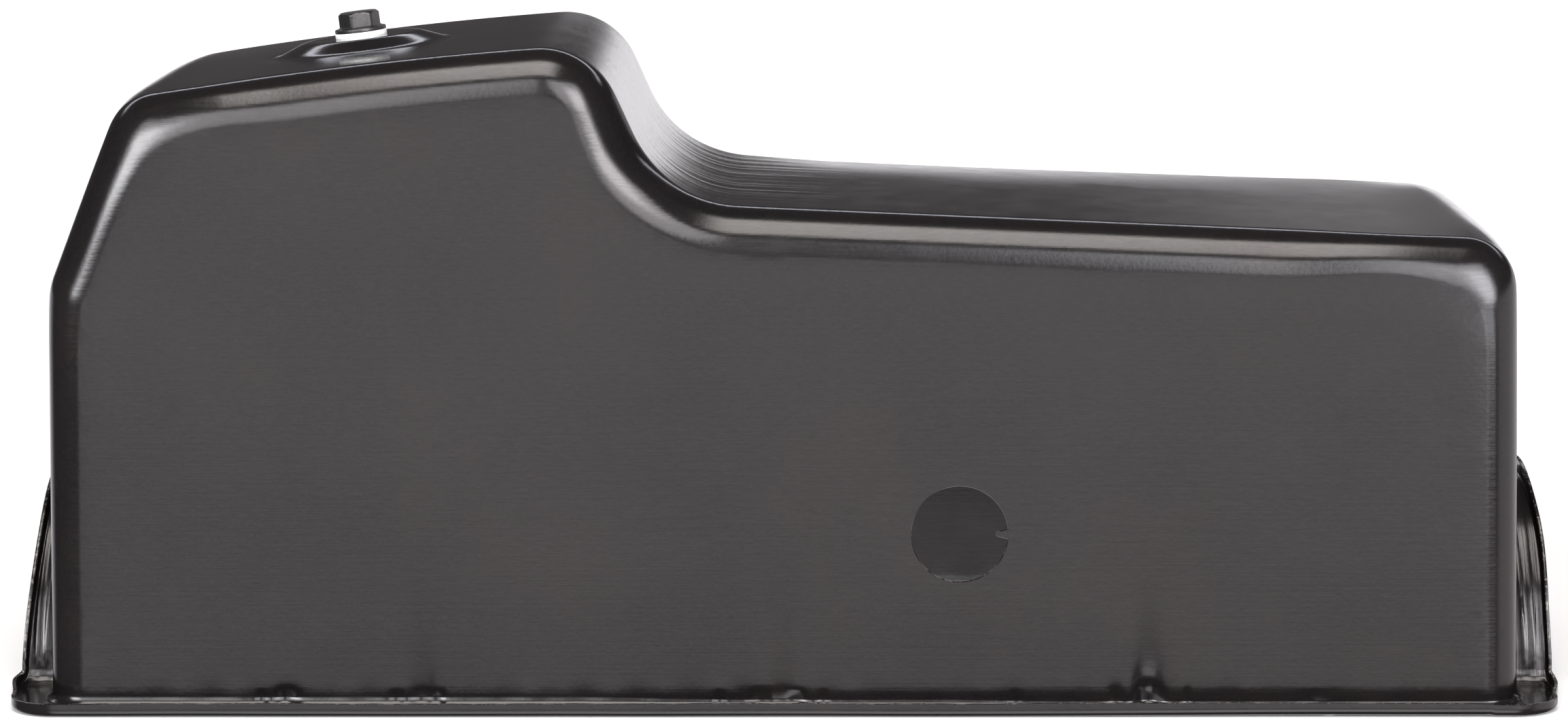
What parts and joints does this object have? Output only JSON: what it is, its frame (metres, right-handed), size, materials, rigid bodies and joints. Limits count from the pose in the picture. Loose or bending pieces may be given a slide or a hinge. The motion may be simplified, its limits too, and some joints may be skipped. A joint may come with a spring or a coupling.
{
  "type": "engine oil pan",
  "caption": "Deep-drawn black sheet-steel oil sump with a stepped floor, lipped bolting rail, half-round end arches, keyed side port and a flanged drain plug.",
  "frame": {"origin": "centre of the bolting rail's gasket face", "axes": "+Z out of the open side through the sump floor (the pan lies on its rail), +X along the pan towards the shallow end, the keyed side port is in the -Y wall"},
  "size_m": [0.652, 0.28, 0.2816],
  "materials": {
    "pan_paint": "satin black dip paint over drawn sheet steel",
    "baffle_paint": "satin black dip paint",
    "nut_steel": "painted weld nut",
    "plug_oxide": "black oxide, oiled",
    "gasket_nylon": "natural white nylon"
  },
  "bodies": {
    "pan": {"pan_shell": "pan_paint", "drain_weld_nut": "nut_steel", "sump_baffle": "baffle_paint", "baffle_brackets": "baffle_paint"},
    "gasket": {"drain_plug_gasket": "gasket_nylon"},
    "plug": {"drain_plug": "plug_oxide"}
  },
  "joints": [
    {"name": "plug_travel", "type": "slide", "parent": "pan", "child": "gasket", "axis": [-0.1184, 0, 0.993], "range_m": [0, 0.01524]},
    {"name": "plug_turn", "type": "hinge", "parent": "gasket", "child": "plug", "pos_m": [-0.18417, 0, 0.27002], "axis": [-0.1184, 0, 0.993], "range_deg": [0, 4320]}
  ],
  "couplings": [
    {"joint": "plug_turn", "follows": "plug_travel", "rad_per_m": 4947.4}
  ]
}
